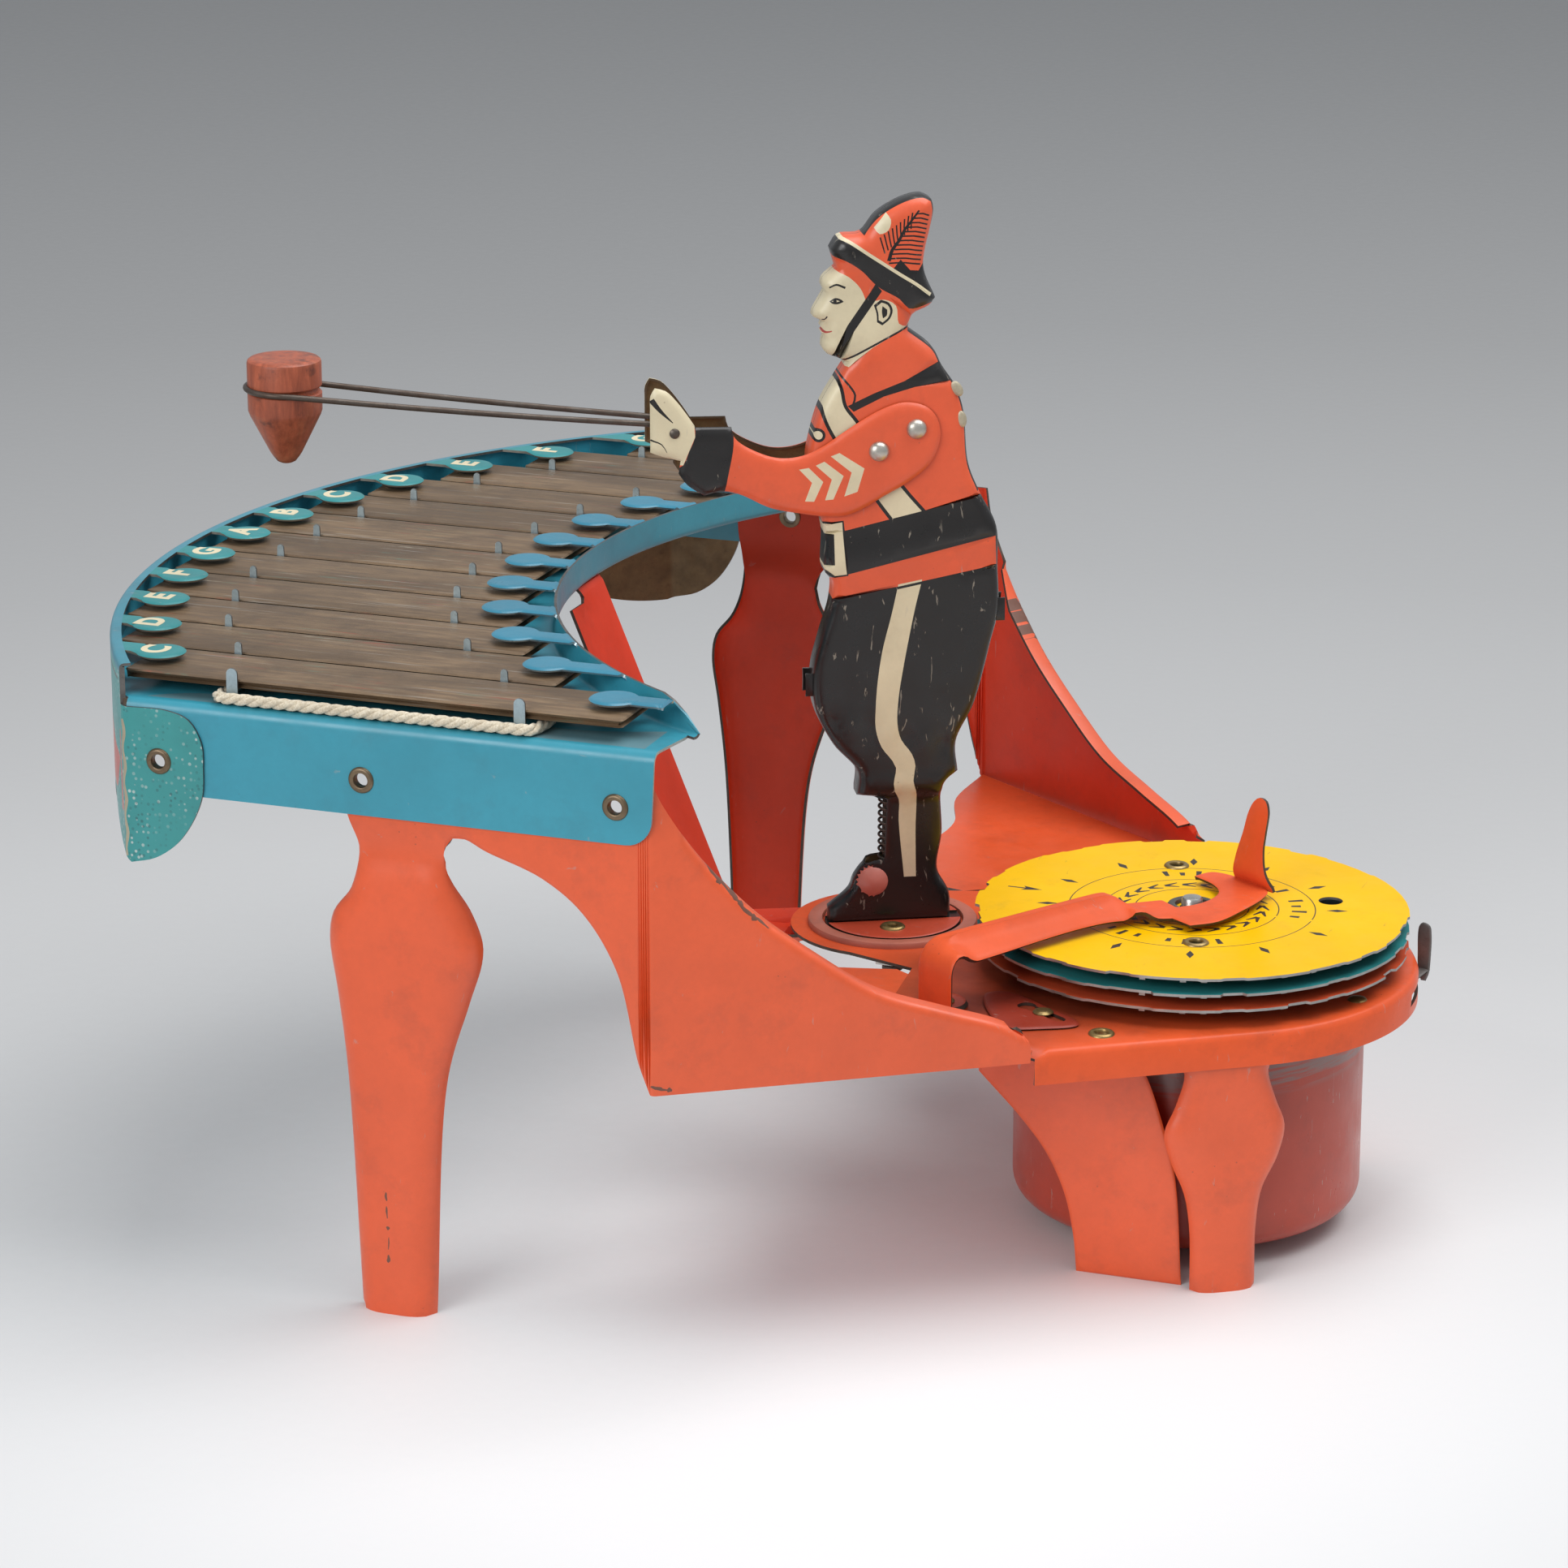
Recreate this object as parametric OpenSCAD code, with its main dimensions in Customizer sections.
// Tin wind-up musical toy: a tin figure swivels over a curved tray of twelve
// tuned bars and strikes them with a mallet, led by a stack of note discs that
// a clockwork drum turns.
// The figure faces -X, bar 1 (the longest) lies towards -Y, +Z is up.
// The origin is the centre of the bounding box on the floor.

/* [Base] */
// Distance from the origin to the disc spindle along X
spindle_x = 76.55; // [70:0.05:85]
// Thickness of the frame sheet
sheet = 0.6; // [0.4:0.05:0.8]
// Height of the platform's top face
platform_z = 50.2; // [48:0.2:52]
// Radius of the platform's round end
platform_r = 42.5; // [42:0.5:44]
// Depth of the skirt under the platform's top face
skirt_h = 6.4; // [5:0.2:8]
// Angle of the two wings to the X axis
wing_angle = 34; // [33:0.5:35]

/* [Tray] */
// Height of the tray's floor
tray_floor_z = 111.6; // [110:0.2:113]
// Half of the tray's width, to the outside of its end plates
tray_half = 100; // [99.8:0.1:101]
// Thickness of the tray's sheet
tray_t = 0.5; // [0.4:0.05:0.6]
// Height of the tabs' underside
tab_z = 117.1; // [116.6:0.1:118]
// Radius of a tab's round end
tab_r = 4.5; // [4:0.1:5]
// Bottom edge of the tray's end plates
end_plate_z = 94.5; // [92:0.5:97]

/* [Bars] */
// Number of bars
bar_count = 12; // [12:1:12]
// Distance from one bar to the next
bar_pitch = 16.2; // [15.8:0.1:16.4]
// Width of a bar
bar_w = 15; // [14:0.1:15.2]
// Thickness of a bar
bar_t = 1.6; // [1.2:0.1:1.8]
// Height of the bars' underside
bar_z = 114.3; // [114.2:0.1:115]
// How far a bar runs on past its tabs' centres
bar_over = 4.5; // [3:0.5:5]
// Diameter of the cotton cord under the bars
cord_d = 2.3; // [2:0.1:2.4]

/* [Discs] */
// Radius of the note discs
disc_r = 40.5; // [38:0.5:41]
// Thickness of a note disc
disc_t = 0.5; // [0.4:0.1:0.8]
// Distance from one disc to the next
disc_step = 3; // [2.5:0.1:3.5]
// Top face of the upper disc
disc_top_z = 60; // [59:0.5:62]
// Radius of the spindle
spindle_r = 2; // [1.5:0.1:2.5]

/* [Drum] */
// Outer radius of the clockwork drum
drum_r = 32.8; // [31:0.2:34]
// Height of the drum's bottom above the floor
drum_z = 3.3; // [2.5:0.1:5]

/* [Figure] */
// Distance from the spindle to the figure's swivel axis
pivot_x = -59; // [-60:0.5:-58]
// Angle the figure is turned from -X towards bar 1
facing = 28; // [20:1:32]
// Thickness of the figure's sheet
skin = 0.4; // [0.3:0.05:0.5]
// Half thickness of the figure's body
body_d = 4; // [3.6:0.1:4.4]
// Half thickness of the figure's lower legs
leg_d = 2.4; // [2.2:0.1:3]
// Distance of the arm plates from the figure's middle plane
arm_w = 4.6; // [4.5:0.1:5.2]
// Radius of the mallet head
mallet_r = 6.8; // [6:0.1:7.5]
// Radius of the wire that holds the mallet head
wire_r = 0.55; // [0.4:0.05:0.7]

/* [Return spring] */
// Number of curls of the spring in front of the leg
curls = 13; // [8:1:20]
// Radius of the spring to the middle of its wire
curl_r = 1.5; // [1.3:0.05:1.7]
// Diameter of the spring's wire
curl_d = 0.5; // [0.4:0.05:0.6]

/* [Brace] */
// Width of the centre brace under the tray
brace_w = 17.6; // [12:0.2:22]

/* [Hidden] */
$fn = 64;
eps = 0.01;

outer_c = [-49.6, -14.25];
outer_tab_r = 139.4;
inner_c = [-16, 6.2];
inner_tab_r = 114.8;
outer_wall_r = outer_tab_r + 8;
inner_wall_r = inner_tab_r - 9.4;
// The tray's far corner is cut shorter than the near one
tray_front = -66;
far_front = -78;
band_t = 0.5;
lobe_low_z = 80.4;
neck_w = 5;
finger_w = 2.2;
finger_top_z = 118;
hole_r = 1.72;
hole_clear_r = 1.3;
flange_r = 2.4;
flange_t = 0.3;
side_holes = [[[-123.6, 101], [-75.7, 101.2]], [[-115.7, 101], [-83, 101.2]]];
tab_hole = [[-162.7, 100.5], [-136.5, 100.5]];

frame_y = tray_half - tray_t;
// Where each side frame folds from its flat panel to its wing, and how far the wing turns in
crease_x = [-70, -72.6];
fold_angle = [wing_angle, wing_angle - 1];
top_z = platform_z - sheet;
tangent = [platform_r * sin(wing_angle), -platform_r * cos(wing_angle)];

function bar_y(k) = (k - (bar_count - 1) / 2) * bar_pitch;
function outer_x(y) = outer_c[0] - sqrt(pow(outer_tab_r, 2) - pow(y - outer_c[1], 2));
function inner_x(y) = inner_c[0] - sqrt(pow(inner_tab_r, 2) - pow(y - inner_c[1], 2));
// Where the corner of a bar would meet the outer wall
function wall_stop(y) = outer_c[0]
    - sqrt(pow(outer_wall_r - tray_t - 0.3, 2) - pow(abs(y - outer_c[1]) + bar_w / 2, 2));
function bar_lo(y) = max(outer_x(y) - bar_over, wall_stop(y));
function bar_hi(y) = inner_x(y) + bar_over;
function node_lo(y) = bar_lo(y) + 0.224 * (bar_hi(y) - bar_lo(y));
function node_hi(y) = bar_hi(y) - 0.2 * (bar_hi(y) - bar_lo(y));
// The last finger at each end stands beside the end bar, level with its node
function near_y(y) = max(bar_y(0), min(bar_y(bar_count - 1), y));

module at_spindle() { translate([spindle_x, 0, 0]) children(); }
module at_pivot() { at_spindle() translate([pivot_x, 0, 0]) children(); }

// The figure's own plane: x forward, y up, z towards its right hand
module figure_plane() {
    at_pivot() rotate([0, 0, 180 + facing]) rotate([90, 0, 0]) children();
}

module ring(r_out, r_in, h) {
    difference() {
        cylinder(r = r_out, h = h);
        translate([0, 0, -1]) cylinder(r = r_in, h = h + 2);
    }
}

module half_plane_y(y) { translate([-250, -y]) square([320, 2 * y]); }

module tray_outline(grow) {
    intersection() {
        difference() {
            translate(outer_c) circle(r = outer_wall_r + grow, $fn = 180);
            translate(inner_c) circle(r = inner_wall_r - grow, $fn = 180);
        }
        half_plane_y(tray_half);
        translate([-260, -150]) square([260 + tray_front, 300]);
    }
}

module eyelet(grip) {
    difference() {
        union() {
            cylinder(r = hole_r - 0.02, h = grip);
            translate([0, 0, -flange_t]) cylinder(r = flange_r, h = flange_t);
            translate([0, 0, grip]) cylinder(r = flange_r, h = flange_t);
        }
        translate([0, 0, -1]) cylinder(r = hole_clear_r, h = grip + 2);
    }
}

// A place on the end plate: side -1 is the near end, +1 the far end
module on_end(side, x, z, y) {
    translate([x, side * y, z]) rotate([side * 90, 0, 0]) children();
}

function which(side) = side < 0 ? 0 : 1;

module end_holes(side) {
    for (p = side_holes[which(side)]) on_end(side, p[0], p[1], tray_half + 1)
        cylinder(r = hole_r, h = 3);
    on_end(side, tab_hole[which(side)][0], tab_hole[0][1], tray_half + 1)
        cylinder(r = hole_r, h = 3);
}

function corner_x(y, r) = outer_c[0] - sqrt(pow(r, 2) - pow(y - outer_c[1], 2));

module end_plate(side) {
    x0 = corner_x(side * tray_half, outer_wall_r) + 0.5;
    x1 = side < 0 ? -69 : far_front;
    r = 5;
    translate([0, side > 0 ? tray_half : -tray_half + tray_t, 0]) rotate([90, 0, 0])
        linear_extrude(tray_t) {
            translate([x0, end_plate_z]) square([x1 - r - x0, tray_floor_z - end_plate_z]);
            translate([x1 - r - eps, end_plate_z + r])
                square([r + eps, tray_floor_z - end_plate_z - r]);
            translate([x1 - r, end_plate_z + r]) circle(r = r);
        }
}

// Inner wall: follows the inner circle between the two end plates
module inner_wall() {
    z0 = tray_floor_z - tray_t;
    intersection() {
        translate([inner_c[0], inner_c[1], z0])
            ring(inner_wall_r + tray_t, inner_wall_r, tab_z + tray_t - z0);
        translate([-260, -tray_half, 0]) cube([260 + tray_front, 2 * tray_half, 200]);
    }
}

module outer_wall() {
    z0 = tray_floor_z - tray_t;
    intersection() {
        translate([outer_c[0], outer_c[1], z0]) ring(outer_wall_r, outer_wall_r - tray_t, tab_z - z0);
        translate([-260, -tray_half, 0]) cube([200, 2 * tray_half, 200]);
    }
}

module finger(x, y) {
    translate([x - finger_w / 2, y - 0.2, tray_floor_z - tray_t])
        cube([finger_w, 0.4, finger_top_z - tray_floor_z + tray_t]);
}

module tray() {
    color([0.19, 0.56, 0.70]) at_spindle() difference() {
        union() {
            translate([0, 0, tray_floor_z - tray_t]) linear_extrude(tray_t) tray_outline(0);
            inner_wall();
            outer_wall();
            for (side = [-1, 1]) end_plate(side);
            for (k = [0 : bar_count - 1]) {
                y = bar_y(k);
                x = inner_x(y);
                wall = inner_c[0] - sqrt(pow(inner_wall_r + tray_t / 2, 2) - pow(y - inner_c[1], 2));
                translate([x, y, tab_z]) cylinder(r = tab_r, h = tray_t);
                translate([x, y - neck_w / 2, tab_z]) cube([wall - x, neck_w, tray_t]);
            }
            for (k = [-1 : bar_count - 1]) {
                y = bar_y(k + 0.5) + (k < 0 ? 0.3 : k == bar_count - 1 ? -0.3 : 0);
                finger(node_lo(near_y(y)), y);
                finger(node_hi(near_y(y)), y);
            }
        }
        translate([far_front, 60, 90]) cube([20, 50, 40]);
        for (side = [-1, 1]) end_holes(side);
    }
}

// Apron of the litho band: a straight strip with five lobes below it
module apron() {
    translate([outer_c[0], outer_c[1], 0]) for (a = [130 : 22.5 : 220])
        rotate([0, 0, a]) translate([outer_wall_r - 20, 0, lobe_low_z + 44])
            rotate([0, 90, 0]) cylinder(r = 44, h = 40);
    translate([-260, -tray_half - 5, 92]) cube([260, 2 * tray_half + 10, 40]);
}

module band_tab(side) {
    x0 = corner_x(side * tray_half, outer_wall_r + band_t);
    r = 7;
    translate([0, side > 0 ? tray_half + band_t : -tray_half, 0]) rotate([90, 0, 0])
        linear_extrude(band_t) difference() {
            union() {
                polygon([[x0, lobe_low_z], [x0 + 2, lobe_low_z], [x0 + 15, 95],
                    [x0 + 15, 110 - r], [x0 + 15 - r, 110], [x0, 110]]);
                translate([x0 + 15 - r, 110 - r]) circle(r = r);
                translate([x0 + 15 - 14, 95]) circle(r = 14);
            }
            translate([x0 - 20, 60]) square([20, 60]);
        }
}

module outer_band() {
    color([0.24, 0.60, 0.64]) at_spindle() difference() {
        union() {
            intersection() {
                translate([outer_c[0], outer_c[1], 0]) ring(outer_wall_r + band_t,
                    outer_wall_r, tab_z + band_t);
                translate([-260, -tray_half - band_t, 0])
                    cube([200, 2 * (tray_half + band_t), 200]);
                apron();
            }
            intersection() {
                translate([outer_c[0], outer_c[1], tab_z]) ring(outer_wall_r + band_t,
                    outer_wall_r - 1.6, band_t);
                translate([-260, -tray_half, 0]) cube([200, 2 * tray_half, 200]);
            }
            for (k = [0 : bar_count - 1]) {
                y = bar_y(k);
                x = outer_x(y);
                wall = outer_c[0] - sqrt(pow(outer_wall_r - 0.5, 2) - pow(y - outer_c[1], 2));
                translate([x, y, tab_z]) cylinder(r = tab_r, h = band_t);
                translate([wall, y - neck_w / 2, tab_z]) cube([x - wall, neck_w, band_t]);
            }
            for (side = [-1, 1]) band_tab(side);
        }
        for (side = [-1, 1]) end_holes(side);
    }
}

module tray_eyelets() {
    color([0.45, 0.36, 0.22]) at_spindle() for (side = [-1, 1]) {
        for (p = side_holes[which(side)])
            on_end(side, p[0], p[1], tray_half) eyelet(tray_t + sheet);
        on_end(side, tab_hole[which(side)][0], tab_hole[0][1], tray_half + band_t)
            eyelet(tray_t + band_t);
    }
}

module bar(k) {
    y = bar_y(k);
    color([0.42, 0.38, 0.31]) at_spindle()
        translate([bar_lo(y), y - bar_w / 2, bar_z]) cube([bar_hi(y) - bar_lo(y), bar_w, bar_t]);
}

// Closed loop of cord: out along the outer fingers and back along the inner ones
function loop_side(lo) = [for (k = [0 : bar_count - 1])
    let (y = bar_y(k)) [lo ? node_lo(y) - cord_side : node_hi(y) + cord_side, y]];
cord_end_y = tray_half - tray_t - cord_d / 2 - 0.05;
cord_z = tray_floor_z + cord_d / 2 + 0.05;
cord_side = 2.8;
last_y = bar_y(bar_count - 1);
cord_route = concat(
    [[node_lo(-last_y) - cord_side, -cord_end_y]], loop_side(true),
    [[node_lo(last_y) - cord_side, cord_end_y], [node_hi(last_y) + cord_side, cord_end_y]],
    [for (k = [bar_count - 1 : -1 : 0]) loop_side(false)[k]],
    [[node_hi(-last_y) + cord_side, -cord_end_y]]);

function unit2(v) = v / norm(v);

module flat_loop_tube(route, z, r, sides) {
    n = len(route);
    pts = [for (i = [0 : n - 1])
        let (p = route[i],
            t = unit2(route[(i + 1) % n] - route[(i + n - 1) % n]),
            s = [t[1], -t[0]])
        for (j = [0 : sides - 1])
            let (a = (j + 0.5) * 360 / sides)
            [p[0] + s[0] * r * cos(a), p[1] + s[1] * r * cos(a), z + r * sin(a)]];
    faces = [for (i = [0 : n - 1]) for (j = [0 : sides - 1])
        let (a = i * sides + j, b = i * sides + (j + 1) % sides,
            c = ((i + 1) % n) * sides + (j + 1) % sides, d = ((i + 1) % n) * sides + j)
        each [[a, b, c], [a, c, d]]];
    polyhedron(pts, faces);
}

module bar_cord() {
    color([0.82, 0.74, 0.60]) at_spindle() flat_loop_tube(cord_route, cord_z, cord_d / 2, 8);
}

// Flat panel with the front baluster leg and the first half of the arch
panel_outline = [[-127, 110.8], [-127.2, 97], [-125.5, 88], [-127.5, 80], [-131.2, 75],
    [-132.1, 70], [-130.8, 60], [-129.2, 45], [-127.3, 0], [-112.9, 0], [-110, 45],
    [-105.5, 60], [-102.9, 68], [-102.7, 72], [-105, 78], [-108.6, 84], [-108.2, 90],
    [-105.5, 92.2], [-100.3, 90], [-90, 86.3], [-82.4, 80.7], [-76.1, 70.7], [-72.2, 54.2],
    [-70.6, 50], [-70, 48.5], [-70, 110.8]];
// Wing profile along its own plane: distance from the crease, height
wing_outline = [[0, 48.5], [0, 108], [1.4, 104.4], [9, 92.1], [14.6, 85.4], [20.7, 79.2],
    [29.6, 72.2], [41.4, 64.2], [53.5, 59.7], [64.3, 56], [68.4, 53.6], [69.4, 51.6],
    [69.4, 48.5]];
// Floor flange at the wing's foot, seen from above on the left-hand side
flange_outline = [[-70, -98], [-70, -80], [-65.3, -64.3], [-66.1, -51], [-69.2, -40],
    [-62, -27], [-50, -24], [-40, -30], [-28, -34], [-16, -44], [-13, -58.6]];

module wing_plane(k) {
    translate([crease_x[k], -frame_y, 0]) rotate([0, 0, fold_angle[k]]) rotate([90, 0, 0])
        translate([0, 0, -sheet]) children();
}

// Frame k, 0 for the near one and 1 for the far one, drawn on the near side
module side_frame_shape(k) {
    shift = crease_x[k] - crease_x[0];
    difference() {
        union() {
            translate([0, -frame_y + sheet, 0]) rotate([90, 0, 0]) linear_extrude(sheet)
                polygon([for (p = panel_outline) p[0] > -80 ? [p[0] + shift, p[1]] : p]);
            wing_plane(k) linear_extrude(sheet) polygon(wing_outline);
            translate([shift, 0, top_z - sheet]) linear_extrude(sheet) polygon(flange_outline);
            // Turned-in edge along the wing's top
            wing_plane(k) translate([0, 0, -4]) linear_extrude(4 + sheet / 2) polygon(concat(
                [for (i = [4 : 11]) wing_outline[i]],
                [for (i = [11 : -1 : 4]) wing_outline[i] - [0.3, sheet]]));
        }
        for (p = side_holes[k]) on_end(-1, p[0], p[1], tray_half + 1) cylinder(r = hole_r, h = 3);
        translate([-35.5, -42, 40]) cylinder(r = hole_r, h = 20);
    }
}

module side_frame_left() {
    color([0.85, 0.30, 0.16]) at_spindle() side_frame_shape(0);
}

module side_frame_right() {
    color([0.85, 0.30, 0.16]) at_spindle() mirror([0, 1, 0]) side_frame_shape(1);
}

function arc(c, r, a0, a1, n) =
    [for (i = [0 : n]) let (a = a0 + (a1 - a0) * i / n) c + [r * cos(a), r * sin(a)]];
end_angle = 90 - wing_angle;
skirt_front = -12;
tongue_r = 19.5;

// Half width of the platform at x, in from its edge by off
function side_y(x, off) = (platform_r - off - x * sin(wing_angle)) / cos(wing_angle);

function round_end(x, off) = concat([[x, -side_y(x, off)]],
    arc([0, 0], platform_r - off, -end_angle, end_angle, 56), [[x, side_y(x, off)]]);

module platform_outline() {
    polygon(concat(round_end(skirt_front, 0), [[-44, 50], [-47, 24]],
        arc([pivot_x, 0], tongue_r, 90, 270, 32), [[-47, -24], [-44, -50]]));
}

// Rear baluster leg in the plane that touches the round end
rear_leg_outline = [[-15, 44.5], [-13.9, 42], [-15.5, 36], [-17.5, 31], [-16, 25], [-13.5, 19],
    [-12.3, 12], [-12, 0], [0.4, 0], [0.4, 12], [1.4, 19], [4.2, 25], [5.4, 31], [3.6, 36],
    [2, 42], [3, 44.5]];

module leg_plane() {
    translate([tangent[0], tangent[1], 0]) rotate([0, 0, wing_angle]) rotate([90, 0, 0])
        translate([0, 0, -sheet - 0.1]) children();
}

module skirt() {
    translate([0, 0, platform_z - skirt_h]) difference() {
        linear_extrude(skirt_h) polygon(round_end(skirt_front, 0));
        translate([0, 0, -1]) linear_extrude(skirt_h - sheet + 1)
            polygon(round_end(skirt_front - 3, sheet));
    }
}

module platform() {
    color([0.85, 0.30, 0.16]) at_spindle() difference() {
        union() {
            translate([0, 0, top_z]) linear_extrude(sheet) platform_outline();
            skirt();
            for (m = [0, 1]) mirror([0, m, 0]) leg_plane() linear_extrude(sheet)
                polygon(rear_leg_outline);
        }
        translate([0, 0, 40]) cylinder(r = 4.02, h = 20);
        translate([pivot_x, 0, 40]) cylinder(r = 2.46, h = 20);
        translate([-3.6, -46.2, 40]) cylinder(r = hole_r, h = 20);
        translate([-35.5, -42, 40]) cylinder(r = hole_r, h = 20);
        translate(sector_pin_at) translate([0, 0, 40]) cylinder(r = 1, h = 20);
        translate([35.2, -12.8, 40]) cylinder(r = 1, h = 20);
        // Slot for the start lever in the skirt
        translate([36, -1, 45.6]) cube([10, 22, 2.2]);
        // Slot for the finger of the swivel sector
        translate([-46.4, 14, 45]) cube([11.2, 7.2, 10]);
        for (p = [wheel_at, governor_at]) translate([p[0], p[1], 45])
            cylinder(r = arbor_r + 0.05, h = 10);
    }
}

leg_plate_outline = [[-29.4, 43.5], [-29.4, 36.9], [-25, 32.6], [-21.8, 29.4], [-16.4, 22.8],
    [-12.7, 15.2], [-10.8, 7], [-10.1, 0], [10, 0], [8.3, 21.2], [5.5, 31.9], [2.4, 40.1],
    [0, 43.5]];

module leg_plate_shape() {
    translate([0, -38 + sheet, 0]) rotate([90, 0, 0]) linear_extrude(sheet)
        polygon(leg_plate_outline);
    translate([-29.4, -38, 43]) cube([29.4, 3.6, sheet]);
}

module leg_plate_left() {
    color([0.80, 0.27, 0.15]) at_spindle() leg_plate_shape();
}

module leg_plate_right() {
    color([0.80, 0.27, 0.15]) at_spindle() mirror([0, 1, 0]) leg_plate_shape();
}

// Centre brace, seen from the side: under the tray floor, down its slope and under the platform
brace_line = [[-129, tray_floor_z - tray_t - sheet / 2], [-122.6, tray_floor_z - tray_t - sheet / 2],
    [-95.3, 45.2], [-80, 45.2], [-77.5, top_z - sheet / 2], [-66, top_z - sheet / 2]];

module tray_brace() {
    color([0.80, 0.27, 0.15]) at_spindle() difference() {
        translate([0, brace_w / 2, 0]) rotate([90, 0, 0]) linear_extrude(brace_w)
            for (i = [0 : len(brace_line) - 2]) hull() {
                translate(brace_line[i]) circle(d = sheet, $fn = 12);
                translate(brace_line[i + 1]) circle(d = sheet, $fn = 12);
            }
        // Relief in the near corner at the top
        translate([-130, -brace_w, 109.6]) cube([10, brace_w - 1.8, 4]);
        translate([-122, -4, 109.6]) rotate([0, 90, 0]) cylinder(r = 2.2, h = 6, center = true);
    }
}

module platform_eyelets() {
    color([0.62, 0.50, 0.25]) at_spindle() {
        translate([-3.6, -46.2, top_z]) eyelet(sheet);
        // Bush of the spindle
        translate([0, 0, top_z - 3]) difference() {
            union() {
                cylinder(r = 4, h = 3 + sheet);
                cylinder(r = 6, h = 3);
            }
            translate([0, 0, -1]) cylinder(r = spindle_r + 0.05, h = 8);
        }
        // Bush of the figure's turntable
        translate([pivot_x, 0, top_z - 0.6]) difference() {
            cylinder(r = 5, h = 0.6);
            translate([0, 0, -1]) cylinder(r = 2.46, h = 8);
        }
    }
}

module turntable_ring() {
    color([0.80, 0.27, 0.15]) at_pivot() translate([0, 0, platform_z]) ring(16.2, 13.4, 1.2);
}

module turntable() {
    color([0.12, 0.10, 0.09]) at_pivot() difference() {
        union() {
            translate([0, 0, platform_z + 0.1]) cylinder(r = 13, h = 0.6);
            translate([0, 0, 45.6]) cylinder(r = 2.4, h = 5);
            translate([0, 0, 46.2]) rotate([0, 0, 180 / 14]) linear_extrude(1.2)
                polygon(gear_points(14, 0.6));
        }
        translate([0, 0, 40]) cylinder(r = 0.9, h = 20);
    }
}

// Gear outline: n teeth of module m, thin enough to run freely in mesh
function gear_points(n, m) = [for (i = [0 : n - 1]) for (j = [0 : 3])
    let (pitch = 360 / n,
        a = i * pitch + [-0.2, -0.07, 0.07, 0.2][j] * pitch,
        r = m * n / 2 + m * [-1.2, 0.8, 0.8, -1.2][j])
    [r * cos(a), r * sin(a)]];

sector_teeth = 64;
sector_at_r = 0.6 * (14 + sector_teeth) / 2;
sector_pin_at = [pivot_x + sector_at_r, 0];

module swivel_sector() {
    color([0.60, 0.60, 0.58]) at_spindle() translate([sector_pin_at[0], 0, 46.4])
        difference() {
            union() {
                intersection() {
                    linear_extrude(0.8) polygon(gear_points(sector_teeth, 0.6));
                    linear_extrude(0.8) polygon([[0, 0], [-21.8, 10.1], [-24, 0], [-23.5, -5]]);
                }
                cylinder(r = 2.6, h = 1.6);
                rotate([0, 0, 100]) translate([0, -1.5, 0]) cube([19.2, 3, 0.8]);
                rotate([0, 0, 100]) translate([18.4, -1.5, 0]) cube([0.8, 3, 6.2]);
            }
            translate([0, 0, -1]) cylinder(r = 1.05, h = 5);
        }
}

module sector_pin() {
    color([0.70, 0.70, 0.68]) at_spindle() translate([sector_pin_at[0], 0, 0]) {
        translate([0, 0, 45.6]) cylinder(r = 0.98, h = platform_z - 45.6);
        translate([0, 0, 45.4]) cylinder(r = 2, h = 0.6);
        translate([0, 0, platform_z]) cylinder(r = 1.8, h = 0.4);
    }
}

lever_pin_x = -47;
lever_pin_z = 42.6;

module strike_bracket() {
    color([0.55, 0.55, 0.53]) at_spindle() difference() {
        union() {
            for (side = [-1, 1]) translate([lever_pin_x - 2.5, side * 11 - 0.4, 40.6])
                cube([5, 0.8, top_z - 40.6]);
            translate([lever_pin_x, 11.8, lever_pin_z]) rotate([90, 0, 0])
                cylinder(r = 1, h = 23.6);
        }
    }
}

module strike_lever() {
    color([0.60, 0.60, 0.58]) at_spindle() difference() {
        union() {
            translate([pivot_x - 2.6, -2.4, lever_pin_z - 0.5]) cube([19, 4.8, 1]);
            translate([lever_pin_x, 4, lever_pin_z]) rotate([90, 0, 0]) cylinder(r = 1.8, h = 8);
            translate([lever_pin_x, -2.4, lever_pin_z - 0.5]) cube([9, 4.8, 1]);
        }
        translate([lever_pin_x, 20, lever_pin_z]) rotate([90, 0, 0]) cylinder(r = 1.05, h = 40);
        // Fork round the foot of the push rod
        translate([pivot_x - 5, -1.1, 40]) cube([6.1, 2.2, 6]);
    }
}

module motor_drum() {
    t = 0.5;
    r = 4.5;
    h = 49.3 - drum_z;
    color([0.72, 0.20, 0.12]) at_spindle() translate([0, 0, drum_z]) difference() {
        rotate_extrude($fn = 120) difference() {
            union() {
                square([drum_r - r, h]);
                translate([0, r]) square([drum_r, h - r]);
                translate([drum_r - r, r]) circle(r = r);
            }
            translate([-1, t]) square([drum_r - r + 1, h]);
            translate([-1, r]) square([drum_r - t + 1, h]);
            translate([drum_r - r, r]) circle(r = r - t);
            translate([-10, -1]) square([10, h + 2]);
        }
        translate([0, 0, -1]) cylinder(r = 3.03, h = 4);
    }
}

// Arbor of the drum: the drum is turned by hand to wind the spring round it
module winding_hub() {
    color([0.60, 0.60, 0.58]) at_spindle() difference() {
        union() {
            translate([0, 0, drum_z]) cylinder(r = 3, h = 28);
            translate([0, 0, drum_z + 0.5]) cylinder(r = 5, h = 1);
        }
        translate([0, 0, drum_z + 20]) cylinder(r = spindle_r + 0.05, h = 10);
    }
}

function spiral_point(t, r0, pitch) = [(r0 + pitch * t) * cos(360 * t),
    (r0 + pitch * t) * sin(360 * t)];

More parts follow.
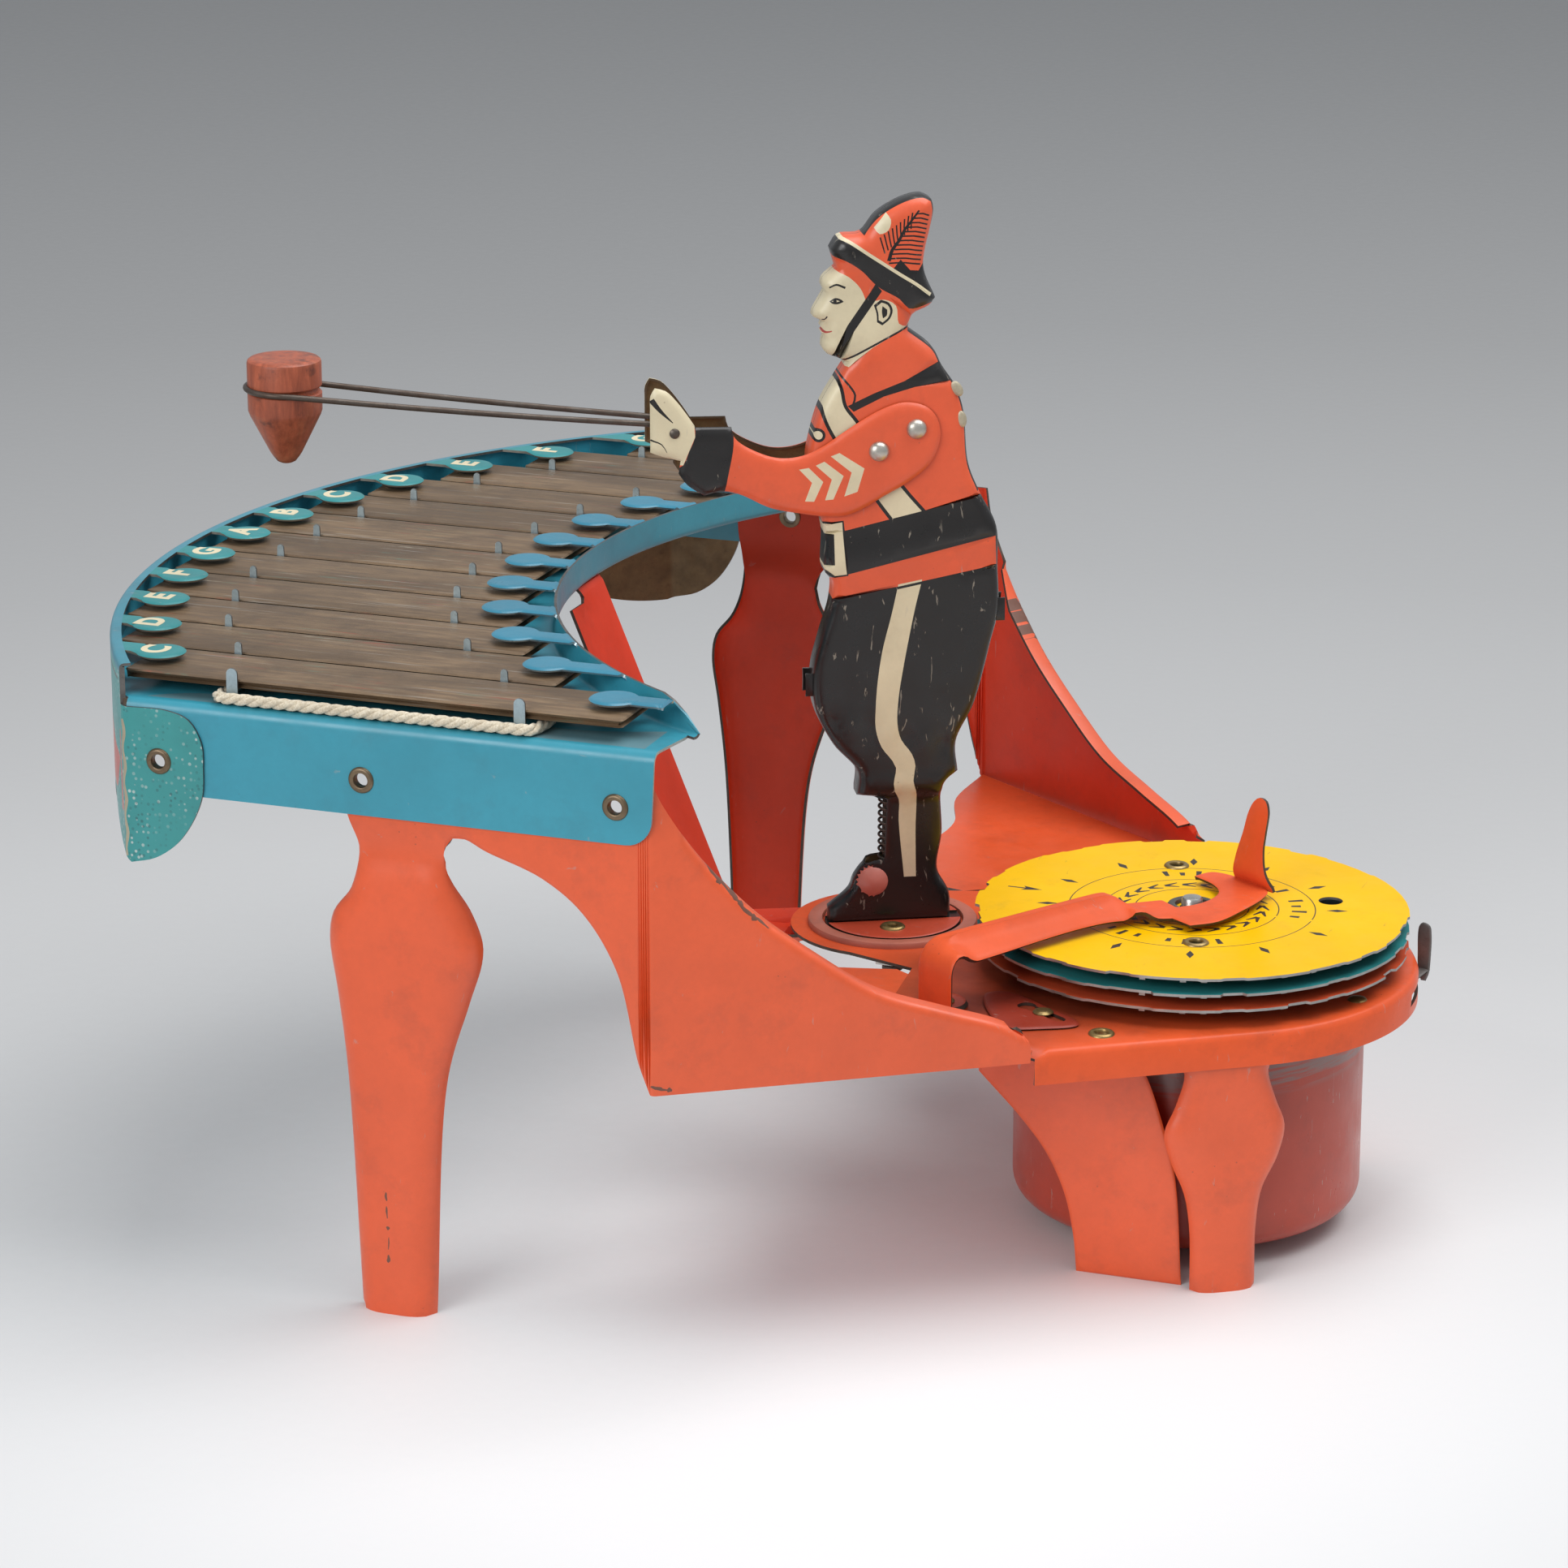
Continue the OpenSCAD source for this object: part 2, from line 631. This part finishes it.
// Flat ribbon wound from the hub out to the drum wall
module mainspring() {
    turns = 12;
    steps = 20;
    r0 = 3.1;
    pitch = 2.35;
    ribbon = 0.35;
    n = turns * steps;
    color([0.35, 0.37, 0.42]) at_spindle() translate([0, 0, 8]) linear_extrude(18)
        polygon(concat(
            [for (i = [0 : n]) spiral_point(i / steps, r0, pitch)],
            [for (i = [n : -1 : 0]) spiral_point(i / steps, r0 + ribbon, pitch)]));
}

pillar_r = 26;
pillar_angles = [60, 180, 300];

module movement_plate() {
    color([0.66, 0.56, 0.30]) at_spindle() translate([0, 0, 33]) difference() {
        cylinder(r = 29, h = 0.8, $fn = 90);
        translate([0, 0, -1]) cylinder(r = spindle_r + 0.05, h = 3);
        for (a = pillar_angles) rotate([0, 0, a]) translate([pillar_r, 0, -1])
            cylinder(r = 1, h = 3);
        for (p = [wheel_at, governor_at]) translate([p[0], p[1], -1])
            cylinder(r = arbor_r + 0.05, h = 3);
    }
}

module movement_pillars() {
    color([0.66, 0.56, 0.30]) at_spindle() for (a = pillar_angles)
        rotate([0, 0, a]) translate([pillar_r, 0, 0]) {
            translate([0, 0, 33]) cylinder(r = 0.98, h = 1);
            translate([0, 0, 33.8]) cylinder(r = 1.8, h = top_z - 33.8);
        }
}

gear_m = 0.5;
drive_teeth = 48;
pinion_teeth = 12;
wheel_teeth = 40;
fan_teeth = 10;
arbor_r = 0.8;
arbor_l = platform_z - 33.25;
wheel_r = gear_m * (drive_teeth + pinion_teeth) / 2;
fan_r = gear_m * (wheel_teeth + fan_teeth) / 2;
wheel_at = [0, wheel_r];
governor_at = [-fan_r * sin(70), wheel_r + fan_r * cos(70)];

module spindle() {
    color([0.72, 0.70, 0.66]) at_spindle() {
        translate([0, 0, 26]) cylinder(r = spindle_r, h = 38);
        translate([0, 0, platform_z + 0.3]) cylinder(r = 9, h = 0.5);
        translate([0, 0, 63.6]) cylinder(r1 = 3.4, r2 = 2, h = 1.3);
    }
}

module drive_gear() {
    color([0.70, 0.58, 0.30]) at_spindle() translate([0, 0, 35]) difference() {
        union() {
            linear_extrude(1.5) polygon(gear_points(drive_teeth, gear_m));
            cylinder(r = 4, h = 4);
        }
        translate([0, 0, -1]) cylinder(r = spindle_r, h = 8);
    }
}

module second_wheel() {
    color([0.70, 0.58, 0.30]) at_spindle() translate(wheel_at) {
        translate([0, 0, 33.05]) cylinder(r = arbor_r, h = arbor_l);
        translate([0, 0, 34.5]) rotate([0, 0, -90 + 180 / pinion_teeth]) linear_extrude(2.6)
            polygon(gear_points(pinion_teeth, gear_m));
        translate([0, 0, 39.6]) linear_extrude(1.2) polygon(gear_points(wheel_teeth, gear_m));
        translate([0, 0, 37]) cylinder(r = 1.6, h = 3);
    }
}

module governor() {
    color([0.60, 0.60, 0.58]) at_spindle() translate(governor_at) {
        translate([0, 0, 33.05]) cylinder(r = arbor_r, h = arbor_l);
        translate([0, 0, 39]) rotate([0, 0, -20 + governor_phase]) linear_extrude(2.4)
            polygon(gear_points(fan_teeth, gear_m));
        translate([-6.5, -0.3, 42.4]) cube([13, 0.6, 3]);
    }
}

// Turns the governor's pinion so that a gap faces the wheel's tooth
governor_phase = 10;

hub_r = 7;

// Note disc: the stepped rim is cut into sectors, with small lugs bent down
module note_disc(top, seed) {
    steps = 60;
    cuts = rands(0, 1, steps, seed);
    translate([0, 0, top - disc_t]) difference() {
        linear_extrude(disc_t) difference() {
            polygon([for (i = [0 : steps - 1]) for (j = [0, 0.86])
                let (a = (i + j) * 360 / steps, r = disc_r - 0.9 * floor(cuts[i] * 2.2))
                [r * cos(a), r * sin(a)]]);
            circle(r = spindle_r + 0.05);
            translate([23.4, 12.3]) circle(r = 1.6);
        }
    }
    translate([0, 0, top - disc_step]) ring(hub_r, hub_r - 0.5, disc_step - disc_t);
}

module disc_red() {
    color([0.78, 0.22, 0.14]) at_spindle() note_disc(disc_top_z - 2 * disc_step, 5);
}

module disc_teal() {
    color([0.10, 0.42, 0.44]) at_spindle() note_disc(disc_top_z - disc_step, 9);
}

module disc_yellow() {
    color([0.95, 0.73, 0.10]) at_spindle() difference() {
        note_disc(disc_top_z, 14);
        for (p = disc_eyelet_at) translate([p[0], p[1], 50]) cylinder(r = hole_r, h = 20);
    }
}

disc_eyelet_at = [[-9.4, 22.6], [6.3, -19.6]];

module disc_eyelets() {
    color([0.62, 0.50, 0.25]) at_spindle() for (p = disc_eyelet_at)
        translate([p[0], p[1], disc_top_z - disc_t]) eyelet(disc_t);
}

// Clamp arm: foot on the platform, rise, strip over the discs, hook, thumb tab
clamp_at = [-35.5, -42];
clamp_rise_at = [-34.2, -49.9];
clamp_heading = 58.3;
clamp_reach = 47;
clamp_w = 9.2;
clamp_t = 0.8;
clamp_top_z = 62.6;
clamp_foot_z = platform_z + 0.1;

module strip(p, q, w, z) {
    d = q - p;
    translate([p[0], p[1], z]) rotate([0, 0, atan2(d[1], d[0])])
        translate([0, -w / 2, 0]) cube([norm(d), w, clamp_t]);
}

// Hook round the spindle's top, seen from above, open to the side that it swings away to
hook_outline = [[-13.8, -8.4], [-6.3, -13.1], [-0.3, -12.3], [3.9, -15.1], [7.9, -11.5],
    [10.7, -3.4], [12.4, 4.7], [12.3, 7.7], [3.3, 13.1], [1.8, 16.2], [-0.9, 16.2], [-3.2, 13],
    [1.3, 9.5], [3.7, 5.3], [3.2, 0.1], [1.1, -3.8], [-1.4, -6], [-5, -2.9]];
// Leaf-shaped tab that a thumb lifts: distance along the hook's outer edge, height over the hook
thumb_outline = [[0.3, 0], [1.6, 4.8], [3.2, 9.2], [4.5, 13.6], [6, 16.1], [7.5, 17], [9, 16.6],
    [9.7, 14.8], [8.8, 9.8], [8.5, 6.6], [8.8, 3.5], [9.8, 1.3], [10.2, 0]];

module thumb_tab() {
    translate([3.1, 12.8, clamp_top_z + clamp_t / 2]) rotate([0, 0, -31]) rotate([90, 0, 0])
        linear_extrude(clamp_t) polygon(thumb_outline);
}

module clamp_arm() {
    color([0.82, 0.28, 0.15]) at_spindle() difference() {
        union() {
            translate([clamp_at[0], clamp_at[1], clamp_foot_z]) cylinder(r = 5, h = clamp_t);
            strip(clamp_at, clamp_rise_at, clamp_w, clamp_foot_z);
            translate([clamp_rise_at[0], clamp_rise_at[1], clamp_foot_z])
                rotate([0, 0, clamp_heading]) translate([0.1, 0.1 - clamp_w / 2, 0])
                cube([clamp_t, clamp_w - 0.2, clamp_top_z + clamp_t / 2 - clamp_foot_z]);
            strip(clamp_rise_at, clamp_rise_at
                + clamp_reach * [cos(clamp_heading), sin(clamp_heading)], clamp_w, clamp_top_z);
            translate([0, 0, clamp_top_z]) linear_extrude(clamp_t) polygon(hook_outline);
            thumb_tab();
        }
        translate([clamp_at[0], clamp_at[1], 45]) cylinder(r = hole_r + 0.03, h = 10);
    }
}

module rivet(r, z0, z1, head) {
    translate([0, 0, z0]) cylinder(r = r, h = z1 - z0);
    translate([0, 0, z0 - 0.5]) cylinder(r = head, h = 0.5);
    translate([0, 0, z1]) cylinder(r = head, h = 0.5);
}

module clamp_rivet() {
    color([0.62, 0.50, 0.25]) at_spindle() translate([clamp_at[0], clamp_at[1], 0])
        rivet(hole_r - 0.02, top_z - sheet, clamp_foot_z + clamp_t + 0.1, 2.6);
}

// Speed slide on the platform, with a keyhole slot round its rivet
module slide_plate() {
    z = platform_z + 0.05;
    color([0.80, 0.27, 0.15]) at_spindle() difference() {
        translate([0, 0, z]) linear_extrude(0.6)
            polygon([[-29.5, -34], [-28.5, -37], [-20.5, -50.5], [-9, -45.4], [-8.6, -44],
                [-10, -41.9], [-24, -32.2]]);
        translate([0, 0, z - 1]) linear_extrude(3) {
            translate([-20.2, -38.2]) circle(r = 1.1);
            translate([-12.4, -43.2]) circle(r = 1.1);
            translate([-16.3, -40.7]) rotate(-32.7) square([9.2, 2.2], center = true);
        }
    }
}

module slide_rivet() {
    color([0.62, 0.50, 0.25]) at_spindle() translate([-16.3, -40.7, 0]) {
        translate([0, 0, platform_z]) cylinder(r = 1, h = 0.75);
        translate([0, 0, platform_z + 0.7]) cylinder(r = 1.9, h = 0.4);
    }
}

lever_at = [35.2, -12.8];
lever_heading = 80;
lever_reach = 31.4;
lever_t = 0.8;
// Leaf-shaped blade at the lever's end: across the arm, height over the arm's underside
blade_outline = [[-0.5, -1.7], [0.5, -1.7], [0.9, 0], [1.3, 5], [1.2, 8], [0.5, 9.8], [-0.5, 9.8],
    [-1.2, 8], [-1.3, 5], [-0.9, 0]];

module start_lever() {
    color([0.42, 0.42, 0.42]) at_spindle() difference() {
        union() {
            translate([lever_at[0], lever_at[1], 46.2]) {
                cylinder(r = 3, h = lever_t);
                rotate([0, 0, lever_heading]) {
                    translate([0, -1.5, 0]) cube([lever_reach, 3, lever_t]);
                    translate([lever_reach - lever_t, 0, 0]) rotate([90, 0, 90])
                        linear_extrude(lever_t) polygon(blade_outline);
                }
            }
        }
        translate([lever_at[0], lever_at[1], 40]) cylinder(r = 1.04, h = 10);
    }
}

module lever_rivet() {
    color([0.62, 0.50, 0.25]) at_spindle() translate([lever_at[0], lever_at[1], 0]) {
        translate([0, 0, 45.6]) cylinder(r = 0.98, h = platform_z - 45.6);
        translate([0, 0, 45.2]) cylinder(r = 2, h = 0.5);
        translate([0, 0, 47.2]) cylinder(r = 2, h = top_z - 47.2);
        translate([0, 0, platform_z]) cylinder(r = 1.8, h = 0.4);
    }
}

// Figure: outline in its own plane, forward and up from the swivel axis
foot_z = platform_z + 0.75;
body_outline = [[12.5, foot_z], [12.6, 54], [8.5, 57.6], [7.6, 60], [5, 63], [2, 63.6],
    [1.6, 75.4], [7.4, 76.6], [7.2, 81.2], [12, 87], [15.4, 94], [15.8, 101], [14.3, 107.5],
    [12.3, 114.5], [12.2, 118.8], [13.6, 120.5], [13.8, 128.6], [15.6, 135], [16.8, 141.5],
    [16, 146.5], [14.2, 152.4], [11.2, 157.6], [9.4, 160], [14.5, 163], [14, 168.5],
    [14.6, 174], [11, 177.5], [12.6, 181.4], [11, 183.6], [6.8, 184.2], [4, 187.6],
    [-1, 190.4], [-4.4, 191], [-6, 190.2], [-6.4, 188.4], [-4.6, 178], [-6.8, 172],
    [-5.6, 170.4], [-2.6, 168.8], [-1.8, 166.2], [-6.5, 162.4], [-8, 159.4], [-10.6, 155.4],
    [-12.2, 150.6], [-13.2, 140.6], [-15.2, 135.4], [-18.6, 128.4], [-19, 120.4],
    [-19.2, 112], [-17.8, 105.8], [-14.8, 94], [-11.4, 86.6], [-11.8, 80.8], [-9.2, 78.4],
    [-9.1, 68], [-8.3, 61], [-10.6, 56.2], [-10.8, foot_z]];
shoulder_at = [-3, 148];
crank_at = [4, 144];
hand_at = [42, 148.6];
rod_u = 1.3;
pin_r = 1;

module body_half() {
    difference() {
        union() {
            difference() {
                translate([0, 0, 0.05]) linear_extrude(body_d - 0.05) polygon(body_outline);
                translate([-30, 40, leg_d]) cube([60, 36, 10]);
                translate([0, 0, -1]) linear_extrude(body_d - skin + 1) difference() {
                    offset(delta = -skin) polygon(body_outline);
                    translate([-30, 40]) square([60, 37]);
                }
                translate([0, 0, -1]) linear_extrude(leg_d - skin + 1) intersection() {
                    offset(delta = -skin) polygon(body_outline);
                    translate([-30, 40]) square([60, 38]);
                }
            }
            // Half disc turned out at the foot
            intersection() {
                translate([0, foot_z, 0]) rotate([-90, 0, 0]) cylinder(r = 12.9, h = 0.5);
                translate([-20, foot_z - 1, leg_d - skin]) cube([40, 3, 20]);
            }
        }
        translate([shoulder_at[0], shoulder_at[1], -1]) cylinder(r = pin_r + 0.05, h = 20);
        // Room for the crank pin to swing
        for (a = [0 : 3 : 15]) translate([shoulder_at[0], shoulder_at[1], -1])
            rotate([0, 0, -a]) translate([crank_at[0] - shoulder_at[0],
                crank_at[1] - shoulder_at[1], 0]) cylinder(r = pin_r + 0.35, h = 20);
        // Open front of the leg for the spring
        translate([rod_u, 53, 0]) rotate([-90, 0, 0]) cylinder(r = 2.2, h = 26);
        translate([1.1, foot_z - 1, 6.6]) rotate([-90, 0, 0]) cylinder(r = hole_r, h = 3);
        // Passage for the rod through the sole
        translate([0, foot_z - 1, 0]) rotate([-90, 0, 0]) cylinder(r = 2.2, h = 4);
    }
}

module body_left() {
    color([0.86, 0.33, 0.22]) figure_plane() mirror([0, 0, 1]) body_half();
}

module body_right() {
    color([0.86, 0.33, 0.22]) figure_plane() body_half();
}

module foot_eyelets() {
    color([0.62, 0.50, 0.25]) figure_plane() for (m = [0, 1]) mirror([0, 0, m])
        translate([1.1, foot_z + 0.5, 6.6]) rotate([90, 0, 0]) difference() {
            union() {
                cylinder(r = hole_r - 0.02, h = 0.5);
                translate([0, 0, -flange_t]) cylinder(r = flange_r, h = flange_t);
            }
            translate([0, 0, -1]) cylinder(r = 0.9, h = 4);
        }
}

arm_outline = [[-7.6, 147], [-5.6, 151.2], [-1.5, 153.4], [3, 152.6], [7, 150.5], [12.5, 147.3],
    [18, 144.2], [23.5, 143.4], [28, 145], [31, 147], [31.5, 149.1], [38, 149.2],
    [39.5, 151.5], [41.5, 154.5], [43.5, 156.4], [45.5, 157], [46.4, 153.5], [46.4, 145],
    [40.6, 143.4], [41, 140.6], [36.5, 136.5], [33.5, 137], [25.5, 133.6], [17.5, 132.5],
    [11, 132.5], [6, 134], [0, 137], [-5, 140.5], [-7.2, 143.6]];
arm_t = 0.4;

module arms() {
    color([0.86, 0.33, 0.22]) figure_plane() difference() {
        union() {
            for (m = [0, 1]) mirror([0, 0, m]) translate([0, 0, arm_w])
                linear_extrude(arm_t) polygon(arm_outline);
            // Web that joins the two arms under the cuffs
            translate([34, 137.2, -arm_w - 0.1]) rotate([0, 0, 35])
                cube([6, arm_t, 2 * arm_w + 0.2]);
        }
        for (p = [shoulder_at, crank_at]) translate([p[0], p[1], -10])
            cylinder(r = pin_r + 0.02, h = 20);
        translate([hand_at[0], hand_at[1], -10]) cylinder(r = 0.62, h = 20);
    }
}

module pin_with_heads(p, r, head) {
    w = arm_w + arm_t;
    translate([p[0], p[1], -w]) cylinder(r = r, h = 2 * w);
    for (m = [0, 1]) mirror([0, 0, m]) translate([p[0], p[1], w]) {
        cylinder(r = head, h = 0.3);
        translate([0, 0, 0.3]) cylinder(r1 = head, r2 = head * 0.5, h = 0.6);
    }
}

module shoulder_pins() {
    color([0.75, 0.74, 0.70]) figure_plane()
        for (p = [shoulder_at, crank_at]) pin_with_heads(p, pin_r, 1.9);
}

module hand_pin() {
    color([0.55, 0.52, 0.48]) figure_plane() pin_with_heads(hand_at, 0.6, 0.8);
}

mallet_u = 112.8;
wire_z_hand = 149.6;
wire_z_head = 158.2;

// Two parallel wires from the hands, joined by a loop round the mallet head
module mallet_wire() {
    color([0.33, 0.27, 0.24]) figure_plane() {
        run = mallet_u - hand_at[0] - 4;
        rise = wire_z_head - wire_z_hand;
        slope = atan2(rise, run);
        for (m = [0, 1]) mirror([0, 0, m]) {
            translate([hand_at[0] - 1, wire_z_hand, 3]) rotate([0, 0, slope])
                rotate([0, 90, 0]) rotate([atan2(3.6, run), 0, 0])
                cylinder(r = wire_r, h = norm([run, rise]) + 1);
        }
        translate([mallet_u, wire_z_head, 0]) rotate([0, 0, 10]) rotate([-90, 0, 0])
            rotate_extrude($fn = 90) translate([mallet_r + wire_r - 0.25, 0])
                circle(r = wire_r, $fn = 24);
    }
}

module mallet_head() {
    color([0.48, 0.20, 0.11]) figure_plane() translate([mallet_u, 0, 0]) rotate([-90, 0, 0])
        rotate_extrude() polygon([[0, 144.4], [1.6, 144.6], [2.6, 145.8], [mallet_r, 154.4],
            [mallet_r, 157.6], [mallet_r - 0.85, 157.9], [mallet_r - 0.85, 158.6],
            [mallet_r, 158.9], [mallet_r, 163.4], [mallet_r - 0.8, 164], [0, 164]]);
}

// Wire from the strike lever up through the leg to the crank pin
module push_rod() {
    color([0.30, 0.28, 0.26]) figure_plane() difference() {
        union() {
            translate([0, 41, 0]) rotate([-90, 0, 0]) cylinder(r = 0.8, h = 13.4);
            translate([0, 40.8, 0]) rotate([-90, 0, 0]) cylinder(r = 2, h = 0.8);
            translate([0, 44.1, 0]) rotate([-90, 0, 0]) cylinder(r = 2, h = 0.6);
            translate([0, 54.2, 0]) rotate([0, 90, 0]) cylinder(r = 0.8, h = rod_u);
            translate([rod_u, 54.2, 0]) rotate([-90, 0, 0]) cylinder(r = 0.8, h = 86);
            translate([rod_u, 75.4, 0]) rotate([-90, 0, 0]) cylinder(r = 1.9, h = 0.6);
            translate([0.2, 140, -0.6]) cube([7, 7.2, 1.2]);
        }
        // Slot round the crank pin
        translate([2.6, crank_at[1], -2]) cylinder(r = pin_r + 0.08, h = 4);
        translate([2.6, crank_at[1] - pin_r - 0.08, -2]) cube([1.4, 2 * pin_r + 0.16, 4]);
        translate([crank_at[0], crank_at[1], -2]) cylinder(r = pin_r + 0.08, h = 4);
    }
}

spring_lo = 56.6;
spring_hi = 74.9;

function spring_point(t) =
    [curl_r * cos(360 * curls * t), curl_r * sin(360 * curls * t),
        spring_lo + (spring_hi - spring_lo) * t];

// Least distance between two places on the spring at least half a curl apart
spring_rings = curls * 8;
spring_gap = min([for (i = [0 : spring_rings]) for (j = [i + 4 : min(i + 12, spring_rings)])
    norm(spring_point(i / spring_rings) - spring_point(j / spring_rings))]) - curl_d;

module return_spring() {
    sides = 6;
    n = spring_rings;
    r = curl_d / 2;
    pts = [for (i = [0 : n])
        let (t = i / n, p = spring_point(t), a = 360 * curls * t,
            out = [cos(a), sin(a), 0])
        for (j = [0 : sides - 1])
            let (b = j * 360 / sides)
            p + out * r * cos(b) + [0, 0, r * sin(b)]];
    faces = concat(
        [for (i = [0 : n - 1]) for (j = [0 : sides - 1])
            let (a = i * sides + j, b = i * sides + (j + 1) % sides)
            each [[a, a + sides, b], [b, a + sides, b + sides]]],
        [for (j = [1 : sides - 2]) [0, j, j + 1]],
        [for (j = [1 : sides - 2]) [n * sides, n * sides + j + 1, n * sides + j]]);
    echo(spring_gap_to_itself = spring_gap);
    color([0.25, 0.24, 0.23]) at_pivot() rotate([0, 0, 180 + facing])
        translate([rod_u, 0, 0]) polyhedron(pts, faces);
}

tray();
outer_band();
bar(0);  // bar_01
bar(1);  // bar_02
bar(2);  // bar_03
bar(3);  // bar_04
bar(4);  // bar_05
bar(5);  // bar_06
bar(6);  // bar_07
bar(7);  // bar_08
bar(8);  // bar_09
bar(9);  // bar_10
bar(10);  // bar_11
bar(11);  // bar_12
bar_cord();
tray_eyelets();
side_frame_left();
side_frame_right();
platform();
leg_plate_left();
leg_plate_right();
tray_brace();
platform_eyelets();
turntable_ring();
turntable();
motor_drum();
mainspring();
winding_hub();
movement_plate();
movement_pillars();
spindle();
drive_gear();
second_wheel();
governor();
disc_red();
disc_teal();
disc_yellow();
disc_eyelets();
clamp_arm();
clamp_rivet();
slide_plate();
slide_rivet();
start_lever();
lever_rivet();
swivel_sector();
sector_pin();
strike_lever();
strike_bracket();
body_left();
body_right();
foot_eyelets();
arms();
shoulder_pins();
hand_pin();
mallet_wire();
mallet_head();
push_rod();
return_spring();
